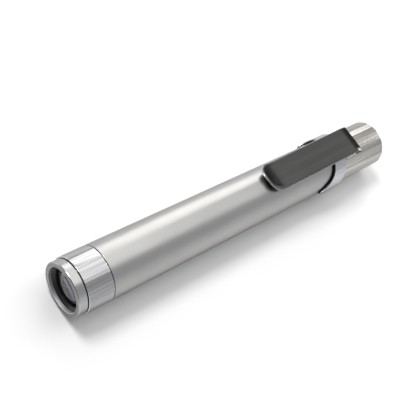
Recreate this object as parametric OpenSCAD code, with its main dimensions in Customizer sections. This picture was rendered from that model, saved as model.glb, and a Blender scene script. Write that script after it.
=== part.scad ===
// Slim aluminium pocket torch for two micro cells. A polished focus ring behind the bezel
// moves the lens, a button in the tail cap switches it, and a spring clip grips the barrel.
// The torch lies along X with its lens towards -X and its clip towards +Z.
// Z = 0 is the surface that it lies on, and X = 0 is the middle of its length.
// Places along the torch are measured from the front rim and have names that end in _s.

/* [Barrel] */
// How far the rear cell reaches into the tail cap, past the end of the barrel's full diameter
cell_reach = 10.4; // [10:0.1:11.6]
// Wall of the barrel along the cells
barrel_wall = 1.4; // [1.2:0.1:1.5]
// Gap of each seam between turned pieces
seam = 0.15; // [0.1:0.05:0.25]

/* [Bezel and lens] */
// Length of the bezel that shows in front of the focus ring
bezel_len = 2.6; // [2.4:0.1:3.4]
// How far the bezel stands in from the barrel's surface
bezel_step = 0.35; // [0.2:0.05:0.5]
// Depth of the open recess in front of the black lens ring
recess_depth = 1.3; // [1.2:0.1:1.8]
// Height of the lens's dome
dome_h = 1.25; // [0.8:0.05:1.5]
// Thickness of the lens at its edge
lens_edge = 1; // [0.8:0.1:1.2]

/* [Focus ring] */
// Length of the focus ring
ring_len = 7.5; // [7.4:0.1:9]
// Wall of the focus ring
ring_wall = 0.75; // [0.7:0.05:0.9]
// How far the lens moves forward
focus_travel = 2.2; // [1.4:0.1:2.3]
// How far the ring turns to do it, in degrees
focus_turn = 100; // [80:5:120]

/* [Cells] */
// Wall of the plastic sleeve that takes up the space round the cells
sleeve_wall = 0.92; // [0.8:0.02:1.2]
// Diameter of one cell
cell_d = 10.5; // [10.1:0.1:10.6]
// Length of one cell with its raised terminal
cell_len = 44.5; // [44:0.1:45]

/* [Tail cap] */
// Length of the spring behind the cells, with the cap closed
spring_room = 4.8; // [4.4:0.1:6]
// Length of the switch's housing
switch_len = 4.2; // [4:0.1:5]
// Thickness of the cap's end wall round the button
end_wall = 2.6; // [2:0.1:3.2]
// How far the tail cap stands in from the barrel's surface
cap_step = 0.3; // [0.2:0.05:0.4]
// Lead of the cap's thread for one turn
thread_lead = 1; // [0.75:0.25:1]
// Turns that free the cap
thread_turns = 5; // [3:1:5]

/* [Button] */
// Diameter of the tail button
button_d = 8; // [7:0.1:8.4]
// How far the button goes in
press_travel = 1.4; // [1:0.1:1.6]
// How far the button lies below the tail cap's end face
button_sink = 0.3; // [0.2:0.1:0.6]

/* [Clip] */
// Thickness of the clip's steel strip
strip_t = 0.5; // [0.4:0.05:0.6]
// Width of the clip's blade
blade_w = 9.6; // [8.6:0.1:10]
// Length of the blade from its tip to the back of the fold
blade_len = 40.3; // [36:0.1:44]
// From the back of the fold to the tail cap's end face
fold_inset = 13.8; // [13:0.1:15]
// Width of the band on the top of the barrel
band_w = 5.1; // [4.6:0.1:5.6]
// Turn of the band across the barrel, in degrees: its arm on the -Y side lies further forward
band_skew = 14.5; // [8:0.5:16]
// How far the front edge of the band sweeps forward on its way down
front_sweep = 4.5; // [3.8:0.1:5]
// How far the rear edge of the band sweeps forward on its way down
rear_sweep = 1.3; // [1:0.1:1.5]
// How far the band's arms reach below the middle of the barrel
band_reach = 3.7; // [3:0.1:4.2]

/* [Hidden] */
$fn = 96;

// Clearances
run_gap = 0.05;
seat_gap = 0.03;
free_gap = 0.3;
over = 0.5;
edge = 0.15;
// Steps in which a curved edge is drawn
curve_steps = 8;

// Radii of the cells, barrel and head
cell_r = cell_d / 2;
sleeve_gap = 0.2;
sleeve_in_r = cell_r + sleeve_gap;
sleeve_out_r = sleeve_in_r + sleeve_wall;
bore_r = sleeve_out_r + seat_gap;
barrel_r = bore_r + barrel_wall;
bezel_r = barrel_r - bezel_step;
ring_bore_r = barrel_r - ring_wall;
skirt_r = ring_bore_r - run_gap;
skirt_wall = 0.9;
pocket_r = skirt_r - skirt_wall;
mouth_step = 0.05;
mouth_r = pocket_r + mouth_step;
core_r = pocket_r - run_gap;
core_wall = 0.75;
core_bore_r = core_r - core_wall;

// Places in the bezel
lip_r = 0.4;
lip_in_r = 0.15;
lens_ring_t = 0.9;
ledge_len = 0.9;
ledge_depth = 0.8;
ledge_r = pocket_r - ledge_depth;
seat_s = recess_depth + lens_ring_t;
ledge_s = seat_s + lens_edge + seat_gap;
skirt_s = ledge_s + ledge_len;
dome_margin = 0.15;
dome_r = ledge_r - dome_margin;
lens_ring_bevel = 0.35;

// Places in the focus ring
ring_s = bezel_len + seam;
ring_end_s = ring_s + ring_len;
flange_len = 1.3;
flange_s = ring_end_s - flange_len;
circlip_t = 0.35;
circlip_s = flange_s - run_gap - circlip_t;
circlip_depth = 0.35;
circlip_width = 0.85;
circlip_mouth = 40;
skirt_end_gap = 0.25;
skirt_end_s = circlip_s - skirt_end_gap;
pin_d = 1.2;
pin_edge = 1.2;
pin_s = skirt_end_s - pin_edge;
pin_bite = 0.35;
pin_out_r = ring_bore_r + pin_bite;
pin_in = 0.15;
pin_in_r = core_bore_r + pin_in;
cam_gap = 0.12;
cam_step = 8;
cam_steps = ceil(focus_turn / cam_step);
bezel_ring_d = 0.6;
bezel_groove_w = 0.75;
bezel_ring_s = pin_s - pin_d / 2 - bezel_groove_w;

// Places in the head core and the light source
barrel_s = ring_end_s + seam;
core_clear = 0.3;
core_s = skirt_s + core_clear;
shank_len = 5.8;
core_end_s = barrel_s + shank_len;
front_wall = 0.9;
front_bore_r = barrel_r - front_wall;
shank_r = front_bore_r - seat_gap;
seal_d = 0.9;
core_seal_s = barrel_s + seal_d + edge;
pill_r = core_bore_r - run_gap;
pill_wall = 0.75;
pill_bore_r = pill_r - pill_wall;
pill_face = 1.6;
pill_len = 5.6;
pill_inset = 1.6;
pill_end_s = core_end_s - pill_inset;
pill_s = pill_end_s - pill_len;
board_t = 1;
led_board_inset = 0.45;
led_board_s = pill_s - board_t;
emitter_w = 3.4;
emitter_t = 0.5;
emitter_dome_r = 1.2;
wire_hole_d = 1;
wire_hole_r = 3;
driver_inset = 0.4;
driver_end_s = pill_end_s - driver_inset;
driver_s = driver_end_s - board_t;
chip_w = 2.4;
chip_t = 0.7;
coil_d = 2.6;
coil_h = 1;
part_spread = 1.8;

// Places along the cells
insulator_t = 1;
insulator_gap = 0.1;
insulator_s = core_end_s + insulator_gap;
insulator_end_s = insulator_s + insulator_t;
insulator_hole_r = 2.6;
cells_s = insulator_end_s + free_gap;
nub_h = 0.9;
nub_r = 1.9;
cell_rim = 0.9;
cell_rim_h = 0.35;
cell_edge = 0.3;
cell_dent = 0.15;
cells_end_s = cells_s + 2 * cell_len;
barrel_end_s = cells_end_s - cell_reach;
bore_shoulder = 1.2;
bore_end_s = barrel_end_s - bore_shoulder;
rear_bore_r = sleeve_in_r + run_gap;

// Places in the tail cap
cap_s = barrel_end_s + seam;
contact_t = 0.4;
contact_s = cells_end_s + spring_room;
switch_s = contact_s + contact_t;
cavity_s = switch_s + switch_len;
button_rim_t = 0.7;
end_wall_s = cavity_s + button_rim_t + press_travel + free_gap;
tail_s = end_wall_s + end_wall;
light_len = tail_s;
cap_r = barrel_r - cap_step;
cap_wall = 0.65;
cap_bore_r = cap_r - cap_wall;
spigot_r = cap_bore_r - run_gap;
spigot_len = 8.4;
spigot_end_s = barrel_end_s + spigot_len;
cap_bore_spare = 1.2;
cap_bore_end_s = spigot_end_s + cap_bore_spare;
tail_seal_d = 0.8;
tail_seal_s = barrel_end_s + 2 * tail_seal_d + edge;
thread_s = tail_seal_s + tail_seal_d;
thread_depth = 0.3;
thread_rounds = min(thread_turns, floor((spigot_end_s - thread_s) / thread_lead));
switch_wall = 1.65;
switch_bore_r = cap_r - switch_wall;
switch_r = switch_bore_r - run_gap;
button_r = button_d / 2;
button_gap = 0.1;
button_rim = 0.8;
button_dome = 0.4;
cavity_gap = 0.2;
cavity_r = button_r + button_rim + cavity_gap;
cap_bevel = 0.7;
retainer_len = 1.3;
retainer_s = switch_s - retainer_len;
retainer_wall = 1.6;
retainer_in_r = switch_r - retainer_wall;
contact_r = retainer_in_r - free_gap;
spring_pocket_r = 2.8;
spring_pocket_len = 2.7;
spring_pocket_s = cavity_s - spring_pocket_len;
plunger_d = 2.4;
plunger_gap = 0.3;
button_in_s = end_wall_s - run_gap - button_rim_t;
plunger_s = spring_pocket_s + press_travel + plunger_gap;
spanner_hole_d = 1;

// Springs
spring_rings = 8;
spring_sides = 6;
tail_wire = 0.6;
tail_coil_inset = 1;
tail_coil_r = retainer_in_r - tail_coil_inset;
tail_curls = 3;
front_wire = 0.45;
front_coil_r = 1.4;
front_curls = 3;
switch_wire = 0.45;
switch_coil_r = 2;
switch_curls = 4;

// The clip: a black liner on the barrel, the band, and a tongue that folds over into the blade
liner_t = 0.3;
liner_show = 0.45;
liner_r = barrel_r + liner_t;
band_in_r = liner_r + seat_gap;
band_r = band_in_r + strip_t;
axis_h = barrel_r;
fold_s = tail_s - fold_inset;
fold_slot = 0.5;
fold_r = fold_slot / 2 + strip_t;
fold_in_r = fold_slot / 2;
fold_mid_s = fold_s - fold_r;
tongue_h = band_in_r;
fold_mid_h = tongue_h + strip_t + fold_slot / 2;
fold_split = 9;
tip_s = fold_s - blade_len;
band_setback = 6.1;
band_end_s = fold_s - band_setback;
band_s = band_end_s - band_w;
nose_h = 1.2;
sweep_power = 2.2;
nose_r = 0.6;
arm_end_w = 1.3;
arm_bevel = 0.5;
hump_gap = 0.2;
hump_h = fold_slot - hump_gap;
hump_len = 0.9;
hump_ramp = 1.1;
hump_s = fold_mid_s - 4 * hump_len;
tongue_root = 1.4;
knee_len = 2.8;
knee_lean = 18;
knee_r = knee_len / sin(knee_lean);
grip_gap = 0.15;
flare_len = 7;
flare_rise = 21.5;
tip_corner_r = 3.75;
tip_bow_r = 13.5;

// Carries a shape from the torch's own line, where Z runs back from the front rim, to its place
module on_axis() {
    translate([-light_len / 2, 0, axis_h]) rotate([0, 90, 0]) children();
}

// A plain round bar along the line
module rod(r, from_s, to_s) {
    translate([0, 0, from_s]) cylinder(r = r, h = to_s - from_s);
}

// A tube along the line
module tube(out_r, in_r, from_s, to_s) {
    difference() {
        rod(out_r, from_s, to_s);
        rod(in_r, from_s - over, to_s + over);
    }
}

// A round seal of thickness d whose middle runs at radius mid_r
module seal(mid_r, d, at_s) {
    translate([0, 0, at_s]) rotate_extrude() translate([mid_r, 0]) circle(d = d, $fn = 32);
}

// Points of an arc about a centre, for the outline of a turned piece
function arc(mid, r, from_a, to_a) = [
    for (i = [0:curve_steps])
        let (a = from_a + (to_a - from_a) * i / curve_steps)
        mid + r * [cos(a), sin(a)]
];

// One point of a coil's middle line: t runs from 0 to 1 along the coil
function coil_point(t, curls, coil_r, from_s, rise) =
    [coil_r * cos(360 * curls * t), coil_r * sin(360 * curls * t), from_s + rise * t];

// Unit vector across the line at t, pointing out from the coil's axis
function coil_out(t, curls) = [cos(360 * curls * t), sin(360 * curls * t), 0];

// Unit vector along the wire at t
function coil_along(t, curls, coil_r, rise) =
    let (v = [-2 * PI * curls * coil_r * sin(360 * curls * t),
              2 * PI * curls * coil_r * cos(360 * curls * t), rise])
    v / norm(v);

// One ring of points round the wire at t
function coil_ring(t, curls, coil_r, wire, from_s, rise) =
    let (mid = coil_point(t, curls, coil_r, from_s, rise),
         out = coil_out(t, curls),
         up = cross(coil_along(t, curls, coil_r, rise), out))
    [for (k = [0:spring_sides - 1])
        mid + wire / 2 * (cos(360 * k / spring_sides) * out + sin(360 * k / spring_sides) * up)];

// A spring of one unbroken wire between two places on the line
module coil(curls, coil_r, wire, from_s, to_s) {
    start_s = from_s + wire / 2 + seat_gap;
    rise = to_s - from_s - wire - 2 * seat_gap;
    last = curls * spring_rings;
    points = [for (i = [0:last]) each coil_ring(i / last, curls, coil_r, wire, start_s, rise)];
    walls = [for (i = [0:last - 1]) for (k = [0:spring_sides - 1])
        let (a = i * spring_sides + k, b = i * spring_sides + (k + 1) % spring_sides)
        each [[a, b, b + spring_sides], [a, b + spring_sides, a + spring_sides]]];
    front = [for (k = [1:spring_sides - 2]) [0, k + 1, k]];
    base = last * spring_sides;
    back = [for (k = [1:spring_sides - 2]) [base, base + k, base + k + 1]];
    echo(coil_gap = rise / curls - wire);
    polyhedron(points = points, faces = concat(walls, front, back), convexity = 10);
}

// Satin bezel with the lens pocket, and the skirt that slides inside the focus ring
module front_bezel() {
    groove_r = skirt_r - bezel_ring_d;
    groove_s = bezel_ring_s - bezel_groove_w / 2;
    groove_end_s = bezel_ring_s + bezel_groove_w / 2;
    outline = concat(
        arc([mouth_r + lip_in_r, lip_in_r], lip_in_r, 180, 270),
        arc([bezel_r - lip_r, lip_r], lip_r, 270, 360),
        [[bezel_r, bezel_len - edge], [bezel_r - edge, bezel_len], [skirt_r, bezel_len]],
        [[skirt_r, groove_s], [groove_r, groove_s]],
        [[groove_r, groove_end_s], [skirt_r, groove_end_s]],
        [[skirt_r, skirt_end_s], [pocket_r, skirt_end_s], [pocket_r, skirt_s]],
        [[ledge_r, skirt_s], [ledge_r, ledge_s], [pocket_r, ledge_s], [pocket_r, seat_s]],
        [[mouth_r, seat_s]]
    );
    color("gainsboro") on_axis() difference() {
        rotate_extrude() polygon(outline);
        for (side = [-1, 1])
            translate([0, 0, pin_s]) rotate([90 * side, 0, 0])
                cylinder(d = pin_d + 2 * seat_gap, h = skirt_r + over);
    }
}

// Domed clear lens with a flat back
module lens() {
    ball_r = (pow(dome_r, 2) + pow(dome_h, 2)) / (2 * dome_h);
    half_a = asin(dome_r / ball_r);
    dome = [for (i = [0:curve_steps])
        let (a = half_a * (1 - i / curve_steps))
        [ball_r * sin(a), seat_s + seat_gap + ball_r * cos(half_a) - ball_r * cos(a)]];
    flange_r = pocket_r - seat_gap;
    outline = concat(
        [[0, ledge_s - seat_gap], [flange_r, ledge_s - seat_gap], [flange_r, seat_s + seat_gap]],
        dome
    );
    color("lightcyan", 0.4) on_axis() rotate_extrude() polygon(outline);
}

// Black threaded ring that holds the lens down in its pocket
module lens_ring() {
    out_r = mouth_r - seat_gap;
    outline = [
        [out_r, recess_depth], [out_r, seat_s], [ledge_r, seat_s],
        [ledge_r, recess_depth + lens_ring_bevel], [ledge_r + lens_ring_bevel, recess_depth]
    ];
    color("black") on_axis() rotate_extrude() polygon(outline);
}

// Seal between the bezel's skirt and the focus ring
module bezel_o_ring() {
    color("black") on_axis()
        seal(ring_bore_r - seat_gap - bezel_ring_d / 2, bezel_ring_d, bezel_ring_s);
}

// Two pins that carry the bezel along the core's slots when the focus ring turns
module guide_pins() {
    color("silver") on_axis()
        for (side = [-1, 1])
            translate([0, 0, pin_s]) rotate([90 * side, 0, 0])
                translate([0, 0, pin_in_r]) cylinder(d = pin_d, h = pin_out_r - pin_in_r);
}

// Winding groove inside the focus ring: the path of one guide pin as the ring turns
module cam_groove() {
    half_w = pin_d / 2 + cam_gap;
    in_r = ring_bore_r - over;
    out_r = pin_out_r + cam_gap / 2;
    lead_a = asin(half_w / in_r);
    places = concat(
        [[lead_a, pin_s]],
        [for (i = [0:cam_steps])
            [-focus_turn * i / cam_steps, pin_s - focus_travel * i / cam_steps]],
        [[-focus_turn - lead_a, pin_s - focus_travel]]
    );
    points = [for (place = places) each
        [for (r_s = [[in_r, -half_w], [out_r, -half_w], [out_r, half_w], [in_r, half_w]])
            [r_s[0] * cos(place[0]), r_s[0] * sin(place[0]), place[1] + r_s[1]]]];
    last = 4 * (len(places) - 1);
    walls = [for (i = [0:4:last - 4]) for (k = [0:3])
        let (a = i + k, b = i + (k + 1) % 4)
        each [[a, a + 4, b + 4], [a, b + 4, b]]];
    ends = [[0, 1, 2], [0, 2, 3], [last, last + 2, last + 1], [last, last + 3, last + 2]];
    polyhedron(points = points, faces = concat(walls, ends), convexity = 10);
}

// Polished ring that turns on the head core and drives the guide pins
module focus_ring() {
    outline = [
        [ring_bore_r, ring_s], [barrel_r - edge, ring_s], [barrel_r, ring_s + edge],
        [barrel_r, ring_end_s - edge], [barrel_r - edge, ring_end_s],
        [core_r + run_gap, ring_end_s], [core_r + run_gap, flange_s], [ring_bore_r, flange_s]
    ];
    color("whitesmoke") on_axis() difference() {
        rotate_extrude() polygon(outline);
        for (side = [-1, 1]) rotate([0, 0, 90 * side]) cam_groove();
    }
}

// Open spring ring that keeps the focus ring on the core
module head_circlip() {
    groove_r = core_r - circlip_depth;
    color("dimgray") on_axis() difference() {
        tube(groove_r + circlip_width, groove_r + seat_gap, circlip_s, circlip_s + circlip_t);
        translate([0, 0, circlip_s - over])
            linear_extrude(circlip_t + 2 * over)
                polygon([[0, 0], for (a = [-circlip_mouth / 2, 0, circlip_mouth / 2])
                    (barrel_r + over) * [cos(a), sin(a)]]);
    }
}

// Fixed core: slotted tube under the focus ring and a shank that screws into the barrel
module head_core() {
    slot_w = pin_d + 2 * run_gap;
    slot_end_s = pin_s + pin_d / 2 + run_gap;
    color("dimgray") on_axis() difference() {
        union() {
            rod(core_r, core_s, barrel_s + over);
            rod(shank_r, barrel_s, core_end_s);
        }
        rod(core_bore_r, core_s - over, core_end_s + over);
        translate([-slot_w / 2, -core_r - over, core_s - over])
            cube([slot_w, 2 * (core_r + over), slot_end_s - core_s + over]);
        tube(core_r + over, core_r - circlip_depth, circlip_s - seat_gap,
            circlip_s + circlip_t + seat_gap);
        tube(shank_r + over, front_bore_r - seal_d - seat_gap, core_seal_s - seal_d / 2 - edge,
            core_seal_s + seal_d / 2 + edge);
    }
}

// Seal between the head core and the barrel
module core_o_ring() {
    color("black") on_axis() seal(front_bore_r - seat_gap / 2 - seal_d / 2, seal_d, core_seal_s);
}

// Light source: a square chip with a small clear dome
module led_emitter() {
    color("khaki") on_axis() {
        translate([-emitter_w / 2, -emitter_w / 2, led_board_s - emitter_t])
            cube([emitter_w, emitter_w, emitter_t]);
        translate([0, 0, led_board_s - emitter_t]) difference() {
            sphere(r = emitter_dome_r);
            cylinder(r = 2 * emitter_dome_r, h = 2 * emitter_dome_r);
        }
    }
}

// Round metal-backed board under the light source
module led_board() {
    color("dimgray") on_axis() difference() {
        rod(pill_r - led_board_inset, led_board_s, pill_s);
        for (side = [-1, 1])
            translate([0, side * wire_hole_r, 0])
                rod(wire_hole_d / 2, led_board_s - over, pill_s + over);
    }
}

// Brass cup that carries the light source and takes its heat to the core
module led_pill() {
    color("goldenrod") on_axis() difference() {
        rod(pill_r, pill_s, pill_end_s);
        rod(pill_bore_r, pill_s + pill_face, pill_end_s + over);
        for (side = [-1, 1])
            translate([0, side * wire_hole_r, 0])
                rod(wire_hole_d / 2, pill_s - over, pill_s + pill_face + over);
    }
}

// Driver board with its chip and coil, in the back of the cup
module driver_board() {
    color("darkgreen") on_axis() {
        rod(pill_bore_r - run_gap, driver_s, driver_end_s);
        translate([-chip_w / 2, part_spread - chip_w / 2, driver_s - chip_t])
            cube([chip_w, chip_w, chip_t]);
        translate([0, -part_spread, 0]) rod(coil_d / 2, driver_s - coil_h, driver_s);
    }
}

// Small spring that takes the current from the front cell
module front_spring() {
    color("gold") on_axis()
        coil(front_curls, front_coil_r, front_wire, driver_end_s, cells_s);
}

// Plastic washer that keeps the cell's shoulder off the core
module front_insulator() {
    color("ivory") on_axis() tube(sleeve_out_r, insulator_hole_r, insulator_s, insulator_end_s);
}

// Long satin barrel with the tail cap's threaded spigot
module barrel() {
    groove_r = cap_bore_r - tail_seal_d - 2 * seat_gap;
    groove_s = tail_seal_s - tail_seal_d / 2 - edge;
    groove_end_s = tail_seal_s + tail_seal_d / 2 + edge;
    thread = [for (i = [0:thread_rounds - 1])
        let (s = thread_s + i * thread_lead)
        each [[spigot_r, s], [spigot_r - thread_depth, s + thread_lead / 2]]];
    outline = concat(
        [[front_bore_r, barrel_s], [barrel_r - edge, barrel_s], [barrel_r, barrel_s + edge]],
        [[barrel_r, barrel_end_s - edge], [barrel_r - edge, barrel_end_s]],
        [[spigot_r, barrel_end_s], [spigot_r, groove_s], [groove_r, groove_s]],
        [[groove_r, groove_end_s], [spigot_r, groove_end_s]],
        thread,
        [[spigot_r, thread_s + thread_rounds * thread_lead], [spigot_r, spigot_end_s]],
        [[rear_bore_r, spigot_end_s], [rear_bore_r, bore_end_s], [bore_r, bore_end_s]],
        [[bore_r, core_end_s + seat_gap], [front_bore_r, core_end_s + seat_gap]]
    );
    color("lightgray") on_axis() rotate_extrude() polygon(outline);
}

// Plastic sleeve that takes up the space between the thin cells and the bore
module battery_sleeve() {
    color("ghostwhite") on_axis()
        tube(sleeve_out_r, sleeve_in_r, insulator_end_s + run_gap, bore_end_s - run_gap);
}

// Case of one cell, from the place of its raised terminal
module cell_case(from_s) {
    shoulder_s = from_s + nub_h;
    end_s = from_s + cell_len;
    outline = [
        [0, shoulder_s + cell_rim_h], [cell_r - cell_rim, shoulder_s + cell_rim_h],
        [cell_r - cell_rim, shoulder_s], [cell_r - cell_edge, shoulder_s],
        [cell_r, shoulder_s + cell_edge], [cell_r, end_s - cell_edge],
        [cell_r - cell_edge, end_s], [nub_r, end_s], [nub_r, end_s - cell_dent],
        [0, end_s - cell_dent]
    ];
    on_axis() rotate_extrude() polygon(outline);
}

// Raised terminal of one cell, with the plate that closes its case
module cell_terminal(from_s) {
    on_axis() {
        rod(nub_r, from_s + seat_gap, from_s + nub_h + cell_rim_h);
        rod(cell_r - cell_rim - run_gap, from_s + nub_h, from_s + nub_h + cell_rim_h);
    }
}

module front_cell() {
    color("steelblue") cell_case(cells_s);
}

module front_cell_terminal() {
    color("silver") cell_terminal(cells_s);
}

module rear_cell() {
    color("steelblue") cell_case(cells_s + cell_len);
}

module rear_cell_terminal() {
    color("silver") cell_terminal(cells_s + cell_len);
}

// How far an edge of the band has swept forward at a height over the line, for a sweep of one
function swept(height) = pow((barrel_r - height) / (barrel_r - nose_h), sweep_power);

// Outline of the band and its arms seen from the side, as places and heights from the line.
// The front edge sweeps forward to a rounded nose, and the arms narrow towards their ends.
function band_side(front_extra) =
    let (top_s = band_s - front_extra,
         fall = barrel_r - nose_h,
         steep = atan(sweep_power * front_sweep / fall),
         nose = [top_s - front_sweep + nose_r * cos(steep), nose_h - nose_r * sin(steep)],
         rear_s = band_end_s - rear_sweep * swept(-band_reach),
         end = [rear_s - arm_end_w - front_extra, arm_bevel - band_reach],
         drop = end - nose,
         leave = atan2(drop[1], drop[0]) + 360 - acos(nose_r / norm(drop)),
         rear_fall = barrel_r + band_reach - arm_bevel)
    concat(
        [[band_end_s, band_r + over], [top_s, band_r + over]],
        [for (i = [0:curve_steps])
            let (height = barrel_r - fall * i / curve_steps)
            [top_s - front_sweep * swept(height), height]],
        arc(nose, nose_r, 180 - steep, leave),
        [end, end + arm_bevel * [1, -1], [rear_s - arm_bevel, -band_reach]],
        [for (i = [curve_steps:-1:0])
            let (height = barrel_r - rear_fall * i / curve_steps)
            [band_end_s - rear_sweep * swept(height), height]]
    );

// Space that the band and its arms take up, across the whole torch
module band_space(front_extra) {
    rotate([0, -90, 0])
        translate([band_s, 0, 0]) rotate([0, 0, -band_skew]) translate([-band_s, 0, 0])
            rotate([90, 0, 0])
                linear_extrude(3 * band_r, center = true) polygon(band_side(front_extra));
}

// Black liner between the band and the barrel, showing as a line in front of the band
module clip_liner() {
    color("black") on_axis() intersection() {
        tube(liner_r, barrel_r + seat_gap, 0, tail_s);
        band_space(liner_show);
    }
}

// Steel band over the barrel with the tongue that runs back from its top
module clip_band() {
    low = tongue_h;
    high = tongue_h + strip_t;
    root_s = band_end_s - tongue_root;
    tongue = [
        [root_s, low], [hump_s - hump_ramp, low], [hump_s, low + hump_h],
        [hump_s + hump_len, low + hump_h], [hump_s + hump_len + hump_ramp, low],
        [fold_mid_s, low], [fold_mid_s, high],
        [hump_s + hump_len + hump_ramp, high], [hump_s + hump_len, high + hump_h],
        [hump_s, high + hump_h], [hump_s - hump_ramp, high], [root_s, high]
    ];
    fold = concat(
        arc([fold_mid_s, fold_mid_h], fold_r, -90, -fold_split / 2),
        arc([fold_mid_s, fold_mid_h], fold_in_r, -fold_split / 2, -90)
    );
    color("silver") {
        on_axis() intersection() {
            tube(band_r, band_in_r, 0, tail_s);
            band_space(0);
        }
        side_view() polygon(tongue);
        side_view() polygon(fold);
    }
}

// Gives a side view of the clip, drawn with places along X and heights along Y, its width
module side_view() {
    translate([-light_len / 2, blade_w / 2, axis_h]) rotate([90, 0, 0])
        linear_extrude(blade_w) children();
}

// Outline of the blade seen from above, with its bowed tip and the corners that run into it
module blade_plan() {
    corner_y = blade_w / 2 - tip_corner_r;
    lean_a = asin(corner_y / (tip_bow_r - tip_corner_r));
    bow_mid_s = tip_s + tip_bow_r;
    corner_s = bow_mid_s - (tip_bow_r - tip_corner_r) * cos(lean_a);
    intersection() {
        translate([bow_mid_s, 0]) circle(r = tip_bow_r);
        polygon([[bow_mid_s, 0], for (a = [180 - lean_a, 180 + lean_a])
            [bow_mid_s, 0] + 2 * tip_bow_r * [cos(a), sin(a)]]);
    }
    for (side = [-1, 1]) translate([corner_s, side * corner_y]) circle(r = tip_corner_r);
    translate([corner_s, -blade_w / 2]) square([blade_len, blade_w]);
}

// Springy blade: it bends over behind the fold, slopes down to its grip on the barrel and
// flares up at the tip
module clip_blade() {
    fold_mid = [fold_mid_s, fold_mid_h];
    knee_mid = fold_mid - (knee_r - fold_in_r) * [sin(knee_lean), cos(knee_lean)];
    grip = [tip_s + flare_len, barrel_r + grip_gap];
    reach = knee_mid - grip;
    slope = atan2(reach[1], reach[0]) + asin(knee_r / norm(reach));
    bend_r = flare_len / (sin(flare_rise) + sin(slope));
    bend_mid = grip + bend_r * [-sin(slope), cos(slope)];
    outline = concat(
        arc(knee_mid, knee_r, 90 - knee_lean, 90 + slope),
        arc(bend_mid, bend_r, slope - 90, -flare_rise - 90),
        arc(bend_mid, bend_r - strip_t, -flare_rise - 90, slope - 90),
        arc(knee_mid, knee_r + strip_t, 90 + slope, 90 - knee_lean)
    );
    fold = concat(
        arc(fold_mid, fold_r, fold_split / 2, 90 - knee_lean),
        arc(fold_mid, fold_in_r, 90 - knee_lean, fold_split / 2)
    );
    color("dimgray") {
        intersection() {
            side_view() polygon(outline);
            translate([-light_len / 2, 0, 0]) linear_extrude(3 * axis_h) blade_plan();
        }
        side_view() polygon(fold);
    }
}

// Seal on the barrel's spigot, under the tail cap
module tail_o_ring() {
    color("black") on_axis()
        seal(cap_bore_r - seat_gap - tail_seal_d / 2, tail_seal_d, tail_seal_s);
}

// Tail cap: thread over the spigot, bore for the switch, and an end wall round the button
module tail_cap() {
    outline = [
        [cap_bore_r, cap_s], [cap_r - edge, cap_s], [cap_r, cap_s + edge],
        [cap_r, tail_s - cap_bevel], [cap_r - cap_bevel, tail_s],
        [button_r + button_gap, tail_s], [button_r + button_gap, end_wall_s],
        [cavity_r, end_wall_s], [cavity_r, cavity_s], [switch_bore_r, cavity_s],
        [switch_bore_r, cap_bore_end_s], [cap_bore_r, cap_bore_end_s]
    ];
    color("silver") on_axis() rotate_extrude() polygon(outline);
}

// Spring that presses the cells forward and takes the current to the switch
module tail_spring() {
    color("gold") on_axis()
        coil(tail_curls, tail_coil_r, tail_wire, cells_end_s, contact_s);
}

// Brass plate under the spring, riveted to the switch
module tail_contact() {
    color("goldenrod") on_axis() rod(contact_r, contact_s, switch_s - seat_gap);
}

// Threaded brass ring that holds the switch in the cap, with two spanner holes
module switch_retainer() {
    hole_r = (switch_r + retainer_in_r) / 2;
    color("goldenrod") on_axis() difference() {
        tube(switch_r, retainer_in_r, retainer_s, switch_s - seat_gap);
        for (side = [-1, 1])
            translate([0, side * hole_r, 0])
                rod(spanner_hole_d / 2, retainer_s - over, switch_s + over);
    }
}

// Plastic switch housing with a pocket for its spring and plunger
module switch_body() {
    color("dimgray") on_axis() difference() {
        rod(switch_r, switch_s, cavity_s - seat_gap);
        rod(spring_pocket_r, spring_pocket_s, cavity_s + over);
    }
}

// Spring that pushes the button back out
module switch_spring() {
    color("silver") on_axis()
        coil(switch_curls, switch_coil_r, switch_wire, spring_pocket_s, button_in_s);
}

// Metal plunger under the button
module switch_plunger() {
    color("silver") on_axis() rod(plunger_d / 2, plunger_s, button_in_s - seat_gap / 2);
}

// Black button with an inner rim that keeps it in the cap
module tail_button() {
    top_s = tail_s - button_sink;
    ball_r = (pow(button_r, 2) + pow(button_dome, 2)) / (2 * button_dome);
    half_a = asin(button_r / ball_r);
    dome = [for (i = [0:curve_steps])
        let (a = half_a * (1 - i / curve_steps))
        [ball_r * sin(a), top_s - ball_r + ball_r * cos(a)]];
    outline = concat(
        [[0, button_in_s], [button_r + button_rim, button_in_s]],
        [[button_r + button_rim, button_in_s + button_rim_t]],
        [[button_r, button_in_s + button_rim_t]],
        dome
    );
    color("black") on_axis() rotate_extrude() polygon(outline);
}

front_bezel();
lens();
lens_ring();
bezel_o_ring();
guide_pins();
focus_ring();
head_circlip();
head_core();
core_o_ring();
led_emitter();
led_board();
led_pill();
driver_board();
front_spring();
front_insulator();
barrel();
battery_sleeve();
front_cell();
front_cell_terminal();
rear_cell();
rear_cell_terminal();
clip_liner();
clip_band();
clip_blade();
tail_o_ring();
tail_cap();
tail_spring();
tail_contact();
switch_retainer();
switch_body();
switch_spring();
switch_plunger();
tail_button();
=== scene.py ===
import math

import bmesh
import bpy
import numpy as np
from mathutils import Matrix


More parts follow.
